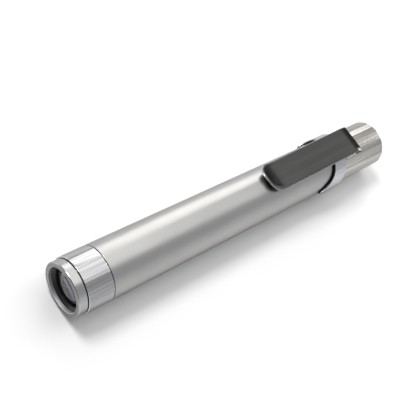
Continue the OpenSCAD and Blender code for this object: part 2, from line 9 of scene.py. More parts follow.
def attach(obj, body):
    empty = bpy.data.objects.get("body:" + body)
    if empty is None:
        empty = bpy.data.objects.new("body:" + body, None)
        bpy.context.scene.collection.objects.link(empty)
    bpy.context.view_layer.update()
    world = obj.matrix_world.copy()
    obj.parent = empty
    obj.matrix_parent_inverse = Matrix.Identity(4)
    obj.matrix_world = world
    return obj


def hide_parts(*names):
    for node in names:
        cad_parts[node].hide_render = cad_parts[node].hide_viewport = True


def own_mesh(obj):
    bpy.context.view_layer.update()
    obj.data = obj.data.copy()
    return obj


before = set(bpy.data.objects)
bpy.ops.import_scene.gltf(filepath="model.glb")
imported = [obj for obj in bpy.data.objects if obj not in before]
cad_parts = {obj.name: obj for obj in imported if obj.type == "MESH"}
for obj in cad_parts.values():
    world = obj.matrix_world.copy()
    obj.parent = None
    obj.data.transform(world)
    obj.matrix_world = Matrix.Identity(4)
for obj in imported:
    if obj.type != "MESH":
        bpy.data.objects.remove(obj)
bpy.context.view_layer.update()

# The view.
# The torch is seen from above its head, with the camera rolled so that the lens looks down
# to the left. The place and turn come from fitting a straight cylinder to the photograph.
MM = 0.001
LENGTH = 121.0
AXIS_H = 7.8
view_right = np.array([0.735163, -0.556502, 0.387094])
view_down = np.array([-0.348449, -0.800035, -0.488392])
view_ahead = np.array([0.581480, 0.224165, -0.782068])
view_place = np.array([-129.803, -43.228, 169.1324]) * MM
camera = bpy.data.objects.new("view_camera", bpy.data.cameras.new("view_camera"))
bpy.context.scene.collection.objects.link(camera)
camera.data.sensor_width = 36.0
camera.data.lens = 62.74
camera.data.clip_start = 0.005
camera.data.clip_end = 20.0
turn = np.eye(4)
turn[:3, 0], turn[:3, 1], turn[:3, 2], turn[:3, 3] = view_right, -view_down, -view_ahead, view_place
camera.matrix_world = Matrix(turn.tolist())
bpy.context.scene.camera = camera
bpy.context.scene.view_settings.view_transform = "Standard"

# The floor and the light.
# A sheet of white card in a pale room, with five soft lights: a large one above, a second
# beside it over the tail, a small strong one over the far side, a key light low at the back
# and one low behind the tail, which draws the shadow in front of the head.
floor_mesh = bpy.data.meshes.new("floor")
FLOOR_HALF = 3.0
floor_mesh.from_pydata([(-FLOOR_HALF, -FLOOR_HALF, 0), (FLOOR_HALF, -FLOOR_HALF, 0),
                        (FLOOR_HALF, FLOOR_HALF, 0), (-FLOOR_HALF, FLOOR_HALF, 0)],
                       [], [(0, 1, 2, 3)])
floor = bpy.data.objects.new("floor", floor_mesh)
bpy.context.scene.collection.objects.link(floor)
card = bpy.data.materials.new("white_card")
card.use_nodes = True
card_shader = card.node_tree.nodes["Principled BSDF"]
card_shader.inputs["Base Color"].default_value = (0.82, 0.82, 0.82, 1)
card_shader.inputs["Roughness"].default_value = 0.8
card_shader.inputs["Specular IOR Level"].default_value = 0.2
floor_mesh.materials.append(card)

world = bpy.data.worlds.new("soft_room")
bpy.context.scene.world = world
world.use_nodes = True
air = world.node_tree
look = air.nodes.new("ShaderNodeTexCoord")
split = air.nodes.new("ShaderNodeSeparateXYZ")
air.links.new(look.outputs["Generated"], split.inputs["Vector"])
# The room is brightest near the horizon, and dims beyond the tail and in front of the head.
RANGE_ENDS = ("From Min", "From Max", "To Min", "To Max")
dimming = []
for axis, easing, values in (("Z", "SMOOTHSTEP", (0.0, 0.55, 0.95, 0.55)),
                             ("X", "SMOOTHSTEP", (0.72, 0.97, 1.0, 0.15)),
                             ("X", "LINEAR", (-0.9, 0.3, 0.25, 1.0))):
    node = air.nodes.new("ShaderNodeMapRange")
    node.interpolation_type = easing
    for label, value in zip(RANGE_ENDS, values):
        node.inputs[label].default_value = value
    air.links.new(split.outputs[axis], node.inputs["Value"])
    dimming.append(node.outputs["Result"])
strength = dimming[0]
for factor in dimming[1:]:
    product = air.nodes.new("ShaderNodeMath")
    product.operation = "MULTIPLY"
    air.links.new(strength, product.inputs[0])
    air.links.new(factor, product.inputs[1])
    strength = product.outputs["Value"]
air.nodes["Background"].inputs["Color"].default_value = (0.97, 0.98, 1.0, 1)
air.links.new(strength, air.nodes["Background"].inputs["Strength"])


def soft_light(name, place, aim, width, height, radiance, tone):
    """Flat soft light at a place, turned towards aim, both in metres. Its power is its
    radiance times its area times pi. Width runs level and height runs upwards."""
    data = bpy.data.lights.new(name, "AREA")
    data.shape = "RECTANGLE"
    data.size, data.size_y = width, height
    data.energy = math.pi * width * height * radiance
    data.color = tone
    light = bpy.data.objects.new(name, data)
    bpy.context.scene.collection.objects.link(light)
    out = np.array(place, float) - np.array(aim, float)
    out /= np.linalg.norm(out)
    side = np.cross([0, 1, 0.001], out)
    side /= np.linalg.norm(side)
    stand = np.eye(4)
    stand[:3, 0], stand[:3, 1], stand[:3, 2], stand[:3, 3] = side, np.cross(out, side), out, place
    light.matrix_world = Matrix(stand.tolist())


def from_angles(azimuth, elevation, distance):
    """Place at a distance, with azimuth in degrees from +X towards +Y."""
    az, el = math.radians(azimuth), math.radians(elevation)
    return distance * np.array([math.cos(el) * math.cos(az), math.cos(el) * math.sin(az), math.sin(el)])


soft_light("top_light", (0.12, 0.23, 0.9), (0.12, 0.23, 0.0), 0.84, 1.10, 1.1, (1.0, 0.99, 0.98))
soft_light("main_light", (-0.21, 0.475, 0.85), (0, 0, 0), 0.28, 0.30, 21.0, (1.0, 0.99, 0.98))
soft_light("key_light", from_angles(55, 24, 1.0), (0, 0, 0), 0.62, 0.62, 1.9, (1.0, 0.99, 0.97))
soft_light("tail_light", (0.86, 0.16, 0.9), (0.86, 0.16, 0.0), 0.60, 0.90, 0.60, (1.0, 0.985, 0.97))
soft_light("end_light", from_angles(-4, 19, 1.0), (0, 0, 0), 0.36, 0.30, 8.0, (1.0, 0.99, 0.98))

# Shaping.
# Turned pieces are outlines of (place from the front rim, radius) carried round the torch's
# line, and the others are grids of points. Sizes are in millimetres. The points of a piece also
# say where its edges are brightened, for wear and a painted highlight, and where painted shade
# darkens its gaps.
S_MID = LENGTH / 2
AROUND = 256
ARC_STEPS, STAND_OFF = 6, 0.03
MERGE_M = 2e-7
# The turn in radians that counts as a full edge, and how far the painted shade at a seam reaches.
EDGE_TURN = 0.12
SEAM_SHADE_W = 0.05


def eased(corners, radii):
    """Outline with rounded corners. Each corner becomes an arc of its radius tangent to both
    sides, sampled evenly in angle, with one more point on each side just outside the arc, so
    that smooth shading keeps the flats flat. corners is (n, 2), and the outline is closed."""
    p = np.asarray(corners, float)
    r = np.broadcast_to(np.asarray(radii, float), len(p))[:, None]
    back, on = np.roll(p, 1, 0) - p, np.roll(p, -1, 0) - p
    back_len, on_len = (np.linalg.norm(v, axis=1)[:, None] for v in (back, on))
    back, on = back / back_len, on / on_len
    half = np.arccos(np.clip((back * on).sum(1), -1, 1))[:, None] / 2
    room = 0.45 * np.minimum(back_len, on_len)
    cut = np.minimum(r / np.tan(half), room)
    r = cut * np.tan(half)
    bisector = back + on
    bisector /= np.linalg.norm(bisector, axis=1)[:, None]
    across = on - back
    across /= np.linalg.norm(across, axis=1)[:, None]
    middle = p + bisector * r / np.sin(half)
    swing = (np.pi / 2 - half) * np.linspace(-1, 1, ARC_STEPS + 1)[None, :]
    arcs = middle[:, None] + r[:, None] * (np.sin(swing)[..., None] * across[:, None]
                                           - np.cos(swing)[..., None] * bisector[:, None])
    extra = np.minimum(STAND_OFF, 0.04 * np.minimum(back_len, on_len))
    first = p + back * (cut + extra)
    last = p + on * (cut + extra)
    return np.concatenate([first[:, None], arcs, last[:, None]], 1).reshape(-1, 2)


def surface(name, grid, material, closed_rows=True, edge=0.0, gap_shade=0.0):
    """Mesh of a grid of points, (rows, columns, 3) in millimetres in the row frame. Columns run
    round to their start, and so do rows that are closed. Rows that shrink to a point or a line
    are merged there, and faces are turned outwards. The two masks, from 0 to 1 for each point,
    mark where the colour is brightened at edges, for wear and a painted highlight, and where it
    is darkened with painted shade in gaps, and are kept as attributes."""
    rows, columns = grid.shape[:2]
    index = np.arange(rows * columns).reshape(rows, columns)
    down = np.concatenate([index, index[:1]]) if closed_rows else index
    full = np.concatenate([down, down[:, :1]], 1)
    quads = np.stack([full[:-1, :-1], full[:-1, 1:], full[1:, 1:], full[1:, :-1]], -1).reshape(-1, 4)
    mesh = bpy.data.meshes.new(name)
    mesh.from_pydata((grid.reshape(-1, 3) * MM).tolist(), [], quads.tolist())
    for label, share in (("edge_wear_and_sheen", edge), ("gap_shade", gap_shade)):
        mask = mesh.attributes.new(label, "FLOAT", "POINT")
        mask.data.foreach_set("value", np.broadcast_to(share, (rows, columns)).ravel().astype(float))
    work = bmesh.new()
    work.from_mesh(mesh)
    bmesh.ops.remove_doubles(work, verts=work.verts, dist=MERGE_M)
    bmesh.ops.dissolve_degenerate(work, edges=work.edges, dist=MERGE_M)
    bmesh.ops.recalc_face_normals(work, faces=work.faces)
    work.to_mesh(mesh)
    work.free()
    mesh.shade_smooth()
    piece = bpy.data.objects.new(name, mesh)
    bpy.context.scene.collection.objects.link(piece)
    mesh.materials.append(material)
    return piece


def ridges(outline):
    """How much each point of a closed outline stands on an outer edge, from 0 to 1: the turn
    between the two sides that meet there, counted where it goes the outline's own way round."""
    p = np.asarray(outline, float)
    back, on = p - np.roll(p, 1, 0), np.roll(p, -1, 0) - p
    bend = np.arctan2(back[:, 0] * on[:, 1] - back[:, 1] * on[:, 0], (back * on).sum(1))
    return np.clip(bend * np.sign(bend.sum()) / EDGE_TURN, 0, 1)


def turned(name, outline, material, around=AROUND, offset=None, seams=()):
    """Turned piece: the closed outline of (place from the front rim, radius) is carried round
    the torch's line. offset(s, r, angle) is added to the radius, in millimetres, and angle
    runs from the top towards +Y. seams are the places whose end faces are darkened with
    painted shade, for the gap between the parts."""
    edge = ridges(outline)[:, None]
    s, r = np.asarray(outline, float).T
    # Painted shade on the end faces at seams, where the edges are not brightened.
    gap_shade = sum(np.clip(1.6 - np.abs(s - at) / SEAM_SHADE_W, 0, 1) for at in seams) + 0 * s
    edge = edge * (1 - gap_shade[:, None])
    angle = np.linspace(0, 2 * np.pi, around, endpoint=False)
    s, r, angle = s[:, None], r[:, None], angle[None, :]
    r = r + (0 if offset is None else offset(s, r, angle))
    grid = np.stack([s + 0 * angle - S_MID, r * np.sin(angle), AXIS_H + r * np.cos(angle)], -1)
    return surface(name, grid, material, edge=edge, gap_shade=gap_shade[:, None])


def waves(inner_r, *terms):
    """Offset for the lengthwise flats that polishing and brushing leave: slow waves round the
    torch, on the surface outside inner_r. Each term is a height in millimetres, a count round
    the torch and a start in radians."""
    def offset(s, r, angle):
        wave = sum(height * np.sin(number * angle + start) for height, number, start in terms)
        return np.where(r > inner_r, wave, 0) + 0 * s
    return offset


def second_finish(piece, material, choose):
    """Faces of a turned piece take a further material where choose(s, r) holds, for the place
    from the front rim and the radius of each face's middle."""
    piece.data.materials.append(material)
    faces = piece.data.polygons
    centre, index = np.zeros(3 * len(faces)), np.zeros(len(faces), np.int32)
    faces.foreach_get("center", centre)
    faces.foreach_get("material_index", index)
    x, y, z = (centre.reshape(-1, 3) / MM).T
    chosen = choose(x + S_MID, np.hypot(y, z - AXIS_H))
    faces.foreach_set("material_index", np.where(chosen, len(piece.data.materials) - 1, index))


def fitted(piece, body, slot, *nodes):
    """The piece moves with a body and stands for CAD nodes, which are hidden. slot is not used."""
    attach(piece, body)
    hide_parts(*nodes)


# Finishes.
# Every finish is a material of its own, built from groups that several share: handling marks,
# edges brightened for wear and a painted highlight with gaps darkened by painted shade, the
# marks of three tools, and the skin of moulded pieces.


def mask_group(name, *outputs):
    """Empty node group with the named float outputs, and its output node."""
    group = bpy.data.node_groups.new(name, "ShaderNodeTree")
    for label in outputs:
        group.interface.new_socket(label, in_out="OUTPUT", socket_type="NodeSocketFloat")
    return group, group.nodes.new("NodeGroupOutput")


def add(tree, kind, **values):
    """Node of a kind with its properties set by name."""
    node = tree.nodes.new(kind)
    for key, value in values.items():
        setattr(node, key, value)
    return node


def noise_at(tree, scale, stretch, detail):
    """Noise on Object coordinates, with stretch as the factor along the torch's line and
    across it: a small factor draws the pattern out in that direction."""
    place = add(tree, "ShaderNodeTexCoord")
    mapping = add(tree, "ShaderNodeMapping")
    mapping.inputs["Scale"].default_value = (stretch[0], stretch[1], stretch[1])
    noise = add(tree, "ShaderNodeTexNoise")
    noise.inputs["Scale"].default_value = scale
    noise.inputs["Detail"].default_value = detail
    tree.links.new(place.outputs["Object"], mapping.inputs["Vector"])
    tree.links.new(mapping.outputs["Vector"], noise.inputs["Vector"])
    return noise


def spread(tree, source, low, high, to_low=0.0, to_high=1.0):
    """Map Range node from low..high to to_low..to_high, on a linked value."""
    node = add(tree, "ShaderNodeMapRange")
    for label, value in zip(RANGE_ENDS, (low, high, to_low, to_high)):
        node.inputs[label].default_value = value
    tree.links.new(source, node.inputs["Value"])
    return node.outputs["Result"]


def wear_group():
    """Handling marks: broad smudges and small pits as two masks, from two sizes of noise."""
    group, out = mask_group("handling_marks", "Smudge", "Pits")
    broad = noise_at(group, 90.0, (0.6, 1.0), 4.0)
    fine = noise_at(group, 900.0, (1.0, 1.0), 1.0)
    group.links.new(spread(group, broad.outputs["Fac"], 0.38, 0.68), out.inputs["Smudge"])
    group.links.new(spread(group, fine.outputs["Fac"], 0.70, 0.78), out.inputs["Pits"])
    return group


def edges_and_gaps_group():
    """Edges brightened, for wear and a painted highlight, and gaps darkened with painted shade,
    as two masks, read from a piece's own attributes.
    """
    group, out = mask_group("edge_sheen_and_gap_shade", "Edge wear and sheen", "Gap shade")
    for label, source in (("Edge wear and sheen", "edge_wear_and_sheen"), ("Gap shade", "gap_shade")):
        mask = add(group, "ShaderNodeAttribute", attribute_name=source)
        group.links.new(mask.outputs["Fac"], out.inputs[label])
    return group


def tool_mark_group(name, stretch, scale, detail):
    """Lines that a tool, a brush or a blast leaves: stretched noise as a height, and noise of
    a fifth of its fineness as a mask for streaks of another tone."""
    group, out = mask_group(name, "Height", "Streak")
    noise = noise_at(group, scale, stretch, detail)
    group.links.new(noise.outputs["Fac"], out.inputs["Height"])
    broad = noise_at(group, scale / 5, (stretch[0] * 2, stretch[1]), 2.0)
    group.links.new(spread(group, broad.outputs["Fac"], 0.36, 0.64), out.inputs["Streak"])
    return group


def skin_group():
    """Skin of a moulded piece: its fine grain as a height, and the cloudy spread of its
    colour as a mask, from two sizes of noise."""
    group, out = mask_group("moulded_skin", "Grain", "Cloud")
    grain = noise_at(group, 5200.0, (1.0, 1.0), 2.0)
    cloud = noise_at(group, 420.0, (1.0, 1.0), 4.0)
    group.links.new(grain.outputs["Fac"], out.inputs["Grain"])
    group.links.new(spread(group, cloud.outputs["Fac"], 0.35, 0.65), out.inputs["Cloud"])
    return group


handling_marks = wear_group()
edge_sheen_and_gap_shade = edges_and_gaps_group()
blast_marks = tool_mark_group("blast_marks", (1.0, 1.0), 9000.0, 3.0)
lathe_marks = tool_mark_group("lathe_marks", (1.0, 0.004), 14000.0, 2.0)
brush_marks = tool_mark_group("brush_marks", (0.012, 1.0), 5000.0, 3.0)
moulded_skin = skin_group()
CLOUD_ROUGH, PIT_ROUGH = 0.08, 0.12
GRAZING_TINT = (0.62, 0.62, 0.62, 1)
# The tone of the painted shade in the gaps at seams and inside the clip's fold.
GAP_SHADE_TONE = (0.020, 0.014, 0.022, 1)


def metal(name, tone, deep_tone, roughness, marks, marks_depth, smudge_rough=0.08, wear_and_sheen_gain=1.12):
    """Metal finish: two tones mixed by handling smudges and, on brushed metal, by streaks
    along the torch. Edges are brighter by a factor, for wear and, on the clip's blade, a painted
    highlight, and painted shade darkens the gaps at seams and inside the clip's fold. Smudges
    and the tool's marks raise the roughness, and the marks give the bump, in metres."""
    material = bpy.data.materials.new(name)
    material.use_nodes = True
    tree = material.node_tree
    shader = tree.nodes["Principled BSDF"]
    shader.inputs["Metallic"].default_value = 1.0
    shader.inputs["Specular Tint"].default_value = GRAZING_TINT
    worn = add(tree, "ShaderNodeGroup", node_tree=handling_marks)
    cut = add(tree, "ShaderNodeGroup", node_tree=marks)
    blend = add(tree, "ShaderNodeMix", data_type="RGBA")
    blend.inputs["A"].default_value = (*tone, 1)
    blend.inputs["B"].default_value = (*deep_tone, 1)
    if marks is brush_marks:
        tree.links.new(cut.outputs["Streak"], blend.inputs["Factor"])
    else:
        tree.links.new(worn.outputs["Smudge"], blend.inputs["Factor"])
    places = add(tree, "ShaderNodeGroup", node_tree=edge_sheen_and_gap_shade)
    # Brighter edges: wear, and on the clip's blade a painted highlight.
    edges_worn_and_lit = add(tree, "ShaderNodeMix", data_type="RGBA")
    edges_worn_and_lit.inputs["B"].default_value = (*(min(1.0, wear_and_sheen_gain * part) for part in tone), 1)
    tree.links.new(places.outputs["Edge wear and sheen"], edges_worn_and_lit.inputs["Factor"])
    tree.links.new(blend.outputs["Result"], edges_worn_and_lit.inputs["A"])
    # Painted shade: the gaps at seams and inside the clip's fold are darkened.
    gap_shaded = add(tree, "ShaderNodeMix", data_type="RGBA")
    gap_shaded.inputs["B"].default_value = GAP_SHADE_TONE
    tree.links.new(places.outputs["Gap shade"], gap_shaded.inputs["Factor"])
    tree.links.new(edges_worn_and_lit.outputs["Result"], gap_shaded.inputs["A"])
    tree.links.new(gap_shaded.outputs["Result"], shader.inputs["Base Color"])
    rough = add(tree, "ShaderNodeMath", operation="ADD")
    tree.links.new(spread(tree, worn.outputs["Smudge"], 0, 1, roughness, roughness + smudge_rough),
                   rough.inputs[0])
    tree.links.new(spread(tree, cut.outputs["Height"], 0.3, 0.7, -0.03, 0.03), rough.inputs[1])
    tree.links.new(rough.outputs["Value"], shader.inputs["Roughness"])
    bump = add(tree, "ShaderNodeBump")
    bump.inputs["Distance"].default_value = marks_depth
    tree.links.new(cut.outputs["Height"], bump.inputs["Height"])
    tree.links.new(bump.outputs["Normal"], shader.inputs["Normal"])
    return material


def moulded(name, tone, other_tone, roughness, grain_depth):
    """Moulded, painted or printed finish: two tones mixed by the cloud, which also raises the
    roughness, with handling pits a little rougher still and the grain as the bump, in metres."""
    material = bpy.data.materials.new(name)
    material.use_nodes = True
    tree = material.node_tree
    shader = tree.nodes["Principled BSDF"]
    skin = add(tree, "ShaderNodeGroup", node_tree=moulded_skin)
    worn = add(tree, "ShaderNodeGroup", node_tree=handling_marks)
    blend = add(tree, "ShaderNodeMix", data_type="RGBA")
    blend.inputs["A"].default_value = (*tone, 1)
    blend.inputs["B"].default_value = (*other_tone, 1)
    tree.links.new(skin.outputs["Cloud"], blend.inputs["Factor"])
    tree.links.new(blend.outputs["Result"], shader.inputs["Base Color"])
    rough = add(tree, "ShaderNodeMath", operation="ADD")
    tree.links.new(spread(tree, skin.outputs["Cloud"], 0, 1, roughness, roughness + CLOUD_ROUGH),
                   rough.inputs[0])
    tree.links.new(spread(tree, worn.outputs["Pits"], 0, 1, 0.0, PIT_ROUGH), rough.inputs[1])
    tree.links.new(rough.outputs["Value"], shader.inputs["Roughness"])
    bump = add(tree, "ShaderNodeBump")
    bump.inputs["Distance"].default_value = grain_depth
    tree.links.new(skin.outputs["Grain"], bump.inputs["Height"])
    tree.links.new(bump.outputs["Normal"], shader.inputs["Normal"])
    return material


def keep_shape(material, *nodes):
    """CAD solids that keep their shape take this material in every slot."""
    for name in nodes:
        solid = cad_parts[name]
        if not solid.material_slots:
            solid.data.materials.append(material)
        for place in solid.material_slots:
            place.material = material


# Barrel: tube with the tail cap's threaded spigot.
# Turned from aluminium bar, bead blasted outside and clear anodised. The spigot at its back
# has a seal groove and a single-start thread of 1 mm lead, cut after the blasting.
BARREL_S, BARREL_END_S = 10.4, 96.2
BARREL_R = 7.8
BORE_R, FRONT_BORE_R, REAR_BORE_R = 6.4, 6.9, 5.5
SPIGOT_R, SPIGOT_END_S = 6.8, 104.6
SEAL_S, SEAL_END_S, SEAL_BED_R, REAR_WALL_S = 97.4, 98.5, 5.94, 95.0
CORE_END_S = 16.2


def thread_cut(s, angle, start_s, end_s, lead, depth):
    """Offset of a thread's cut, for points on its crest: a rounded V that climbs one lead a
    turn, fading in and out over half a lead at its ends."""
    phase = (s - start_s) / lead - angle / (2 * np.pi)
    valley = 0.5 - 0.5 * np.cos(2 * np.pi * phase)
    fade = np.clip((s - start_s) / (0.5 * lead), 0, 1) * np.clip((end_s - s) / (0.5 * lead), 0, 1)
    return -depth * valley * fade


blasted = metal("blasted_aluminium", (0.43, 0.428, 0.42), (0.40, 0.398, 0.39), 0.30, blast_marks,
                0.000004, 0.05)
THREAD_S, THREAD_END_S, THREAD_LEAD, THREAD_DEPTH = 98.75, 104.1, 1.0, 0.3
thread_run = [(s, SPIGOT_R) for s in np.arange(THREAD_S, THREAD_END_S + 0.01, 0.05)]
barrel_front = [(BARREL_S, FRONT_BORE_R), (BARREL_S, BARREL_R), (BARREL_END_S, BARREL_R),
                (BARREL_END_S, SPIGOT_R), (SEAL_S, SPIGOT_R), (SEAL_S, SEAL_BED_R),
                (SEAL_END_S, SEAL_BED_R), (SEAL_END_S, SPIGOT_R)]
barrel_back = [(SPIGOT_END_S, SPIGOT_R), (SPIGOT_END_S, REAR_BORE_R), (REAR_WALL_S, REAR_BORE_R),
               (REAR_WALL_S, BORE_R), (CORE_END_S, BORE_R), (CORE_END_S, FRONT_BORE_R)]
plain = eased(barrel_front + barrel_back, [0.05, 0.15, 0.15, 0.05, 0.05, 0.05, 0.05, 0.05,
                                          0.2, 0.1, 0.05, 0.05, 0.05, 0.05])
crest = len(plain) * len(barrel_front) // len(barrel_front + barrel_back)
outline = np.concatenate([plain[:crest], thread_run, plain[crest:]])
barrel = turned("barrel_tube", outline, blasted, offset=lambda s, r, a: np.where(
    (s >= THREAD_S) & (s <= THREAD_END_S) & (np.abs(r - SPIGOT_R) < 0.001),
    thread_cut(s, a, THREAD_S, THREAD_END_S, THREAD_LEAD, THREAD_DEPTH), 0.0),
    seams=(BARREL_S, BARREL_END_S))
fitted(barrel, "barrel", "blasted_aluminium", "barrel")

# Bezel.
# Turned aluminium, satin on its rim and rounded at its lip. Its skirt slides inside the focus
# ring on two pins, so the bezel and lens move forward when the ring is turned.
BEZEL_R, BEZEL_LEN = 7.45, 2.6
MOUTH_R, POCKET_R, LEDGE_R = 6.15, 6.1, 5.3
SEAT_S, LEDGE_S, SKIRT_S, SKIRT_END_S, SKIRT_R = 2.2, 3.23, 4.13, 8.3, 7.0
GROOVE_S, GROOVE_END_S, GROOVE_R = 5.75, 6.5, 6.4
LIP = 0.12
satin = metal("satin_aluminium", (0.43, 0.43, 0.427), (0.40, 0.40, 0.40), 0.22, lathe_marks,
              0.000003, 0.06)
bezel_outline = eased(
    [(0, MOUTH_R), (0, BEZEL_R), (BEZEL_LEN, BEZEL_R), (BEZEL_LEN, SKIRT_R), (GROOVE_S, SKIRT_R),
     (GROOVE_S, GROOVE_R), (GROOVE_END_S, GROOVE_R), (GROOVE_END_S, SKIRT_R),
     (SKIRT_END_S, SKIRT_R), (SKIRT_END_S, POCKET_R),
     (SKIRT_S, POCKET_R), (SKIRT_S, LEDGE_R), (LEDGE_S, LEDGE_R), (LEDGE_S, POCKET_R),
     (SEAT_S, POCKET_R), (SEAT_S, MOUTH_R)],
    [0.15, 0.42, 0.12, 0.05, 0.03, 0.03, 0.03, 0.03, 0.1, 0.1, 0.05, 0.05, 0.05, 0.05, 0.02, 0.02])
bezel = turned("bezel", bezel_outline, satin)
# The mouth's wall takes a lighter tone than the outside, painted light against the dark inside that it
# mirrors, and the rim's front face a darker tone.
mouth = metal("blasted_mouth_painted_light", (0.62, 0.62, 0.63), (0.50, 0.50, 0.51), 0.60, blast_marks, 0.000005)
rim = metal("rim_face", (0.30, 0.30, 0.305), (0.24, 0.24, 0.245), 0.34, blast_marks, 0.000004, 0.1)
second_finish(bezel, rim, lambda s, r: s < LIP)
second_finish(bezel, mouth, lambda s, r: (s < SEAT_S) & (r < MOUTH_R + LIP))
fitted(bezel, "lens_carrier", "satin_aluminium", "front_bezel")

# Black lens ring.
# A thin threaded ring of black anodised aluminium, screwed down on the lens, with a bevel
# that opens towards the front.
LENS_RING_S, LENS_RING_R = 0.9, 6.12
RING_BEVEL_END_S, RING_BEVEL_R = 1.65, 5.95
black_ring = metal("black_anodised", (0.018, 0.018, 0.02), (0.03, 0.03, 0.033), 0.30, lathe_marks,
                   0.000003, 0.1)
black_ring.node_tree.nodes["Principled BSDF"].inputs["Metallic"].default_value = 0.0
lens_ring = turned("lens_ring_black", eased(
    [(LENS_RING_S, LENS_RING_R), (SEAT_S, LENS_RING_R), (SEAT_S, LEDGE_R),
     (RING_BEVEL_END_S, LEDGE_R), (LENS_RING_S, RING_BEVEL_R)],
    [0.06, 0.03, 0.05, 0.06, 0.06]), black_ring)
fitted(lens_ring, "lens_carrier", "black_anodised", "lens_ring")

# Lens.
# Moulded clear acrylic, domed in front and flat behind, with a thin flange that the black
# ring holds on its seat. Its dark grey-violet tint is painted shade, which darkens the inside
# of the head seen through it.
DOME_R, DOME_H, LENS_R, LENS_GAP = 5.15, 1.25, 6.07, 0.03
glass = bpy.data.materials.new("lens_glass")
glass.use_nodes = True
glass_tree = glass.node_tree
glass_shader = glass_tree.nodes["Principled BSDF"]
glass_shader.inputs["Base Color"].default_value = (0.24, 0.235, 0.28, 1)
glass_shader.inputs["Specular IOR Level"].default_value = 0.3
glass_shader.inputs["Transmission Weight"].default_value = 1.0
glass_shader.inputs["IOR"].default_value = 1.49
film = noise_at(glass_tree, 260.0, (1.0, 1.0), 3.0)
glass_tree.links.new(spread(glass_tree, film.outputs["Fac"], 0.4, 0.75, 0.01, 0.06),
                     glass_shader.inputs["Roughness"])
ball_r = (DOME_R ** 2 + DOME_H ** 2) / (2 * DOME_H)
tilt = np.arcsin(DOME_R / ball_r) * np.linspace(0, 1, 33)
flange_s, lens_back_s = SEAT_S + LENS_GAP, LEDGE_S - LENS_GAP
dome = np.stack([flange_s + ball_r * math.cos(tilt[-1]) - ball_r * np.cos(tilt),
                 ball_r * np.sin(tilt)], 1)
dome[0, 1] = 0
lens_outline = np.concatenate([dome, [
    (flange_s, DOME_R + 0.05), (flange_s, LENS_R - 0.07), (flange_s + 0.02, LENS_R - 0.02),
    (flange_s + 0.06, LENS_R), (lens_back_s - 0.06, LENS_R), (lens_back_s - 0.02, LENS_R - 0.02),
    (lens_back_s, LENS_R - 0.07), (lens_back_s, 0.0)]])
lens = turned("lens_dome", lens_outline, glass, 128)
fitted(lens, "lens_carrier", "lens_glass", "lens")

# Focus ring.
# Turned aluminium polished lengthwise, with small bevels at both seams. It turns on the core
# and its winding grooves push the two guide pins forward.
RING_S, RING_END_S, RING_BORE_R = 2.75, 10.25, 7.05
FLANGE_S, FLANGE_BORE_R = 8.95, 6.1
polished = metal("polished_aluminium", (0.52, 0.52, 0.523), (0.34, 0.34, 0.345), 0.14,
                 brush_marks, 0.000002, 0.05, 1.3)
polish_waves = waves(7.3, (0.018, 11, 0.4), (0.012, 17, 1.9), (0.009, 23, 0.7), (0.007, 31, 2.9),
                     (0.004, 43, 5.1))
focus_ring = turned("focus_collar", eased(
    [(RING_S, RING_BORE_R), (RING_S, BARREL_R), (RING_END_S, BARREL_R),
     (RING_END_S, FLANGE_BORE_R), (FLANGE_S, FLANGE_BORE_R), (FLANGE_S, RING_BORE_R)],
    [0.05, 0.12, 0.12, 0.05, 0.05, 0.05]), polished, 384, polish_waves, (RING_END_S,))
fitted(focus_ring, "focus_ring", "polished_aluminium", "focus_ring")

# Tail cap.
# Turned aluminium, brushed lengthwise outside and left satin inside and on its bevelled end.
# It screws over the spigot, and the switch and its button sit in its back.
CAP_S, CAP_R, CAP_BEVEL_S, CAP_BEVEL_R = 96.35, 7.5, 120.3, 6.8
CAP_BORE_R, CAP_BORE_END_S, SWITCH_BORE_R = 6.85, 105.8, 5.85
CAVITY_S, END_WALL_S, CAVITY_R, HOLE_R = 116.0, 118.4, 5.0, 4.1
brushed = metal("brushed_aluminium", (0.595, 0.575, 0.54), (0.38, 0.368, 0.347), 0.20, brush_marks,
                0.000004, 0.06, 1.3)
brush_waves = waves(7.2, (0.020, 11, 1.1), (0.014, 17, 2.6), (0.010, 29, 0.3), (0.006, 41, 4.0))
tail_cap = turned("tail_shell", eased(
    [(CAP_S, CAP_BORE_R), (CAP_S, CAP_R), (CAP_BEVEL_S, CAP_R), (LENGTH, CAP_BEVEL_R), (LENGTH, HOLE_R),
     (END_WALL_S, HOLE_R), (END_WALL_S, CAVITY_R), (CAVITY_S, CAVITY_R), (CAVITY_S, SWITCH_BORE_R),
     (CAP_BORE_END_S, SWITCH_BORE_R), (CAP_BORE_END_S, CAP_BORE_R)],
    [0.05, 0.15, 0.12, 0.12, 0.25, 0.05, 0.05, 0.05, 0.05, 0.05, 0.05]), brushed, 384, brush_waves)
second_finish(tail_cap, satin, lambda s, r: (s > CAP_BEVEL_S + 0.02) | (r < CAP_BORE_R + 0.05))
fitted(tail_cap, "tail_cap", "brushed_aluminium", "tail_cap")

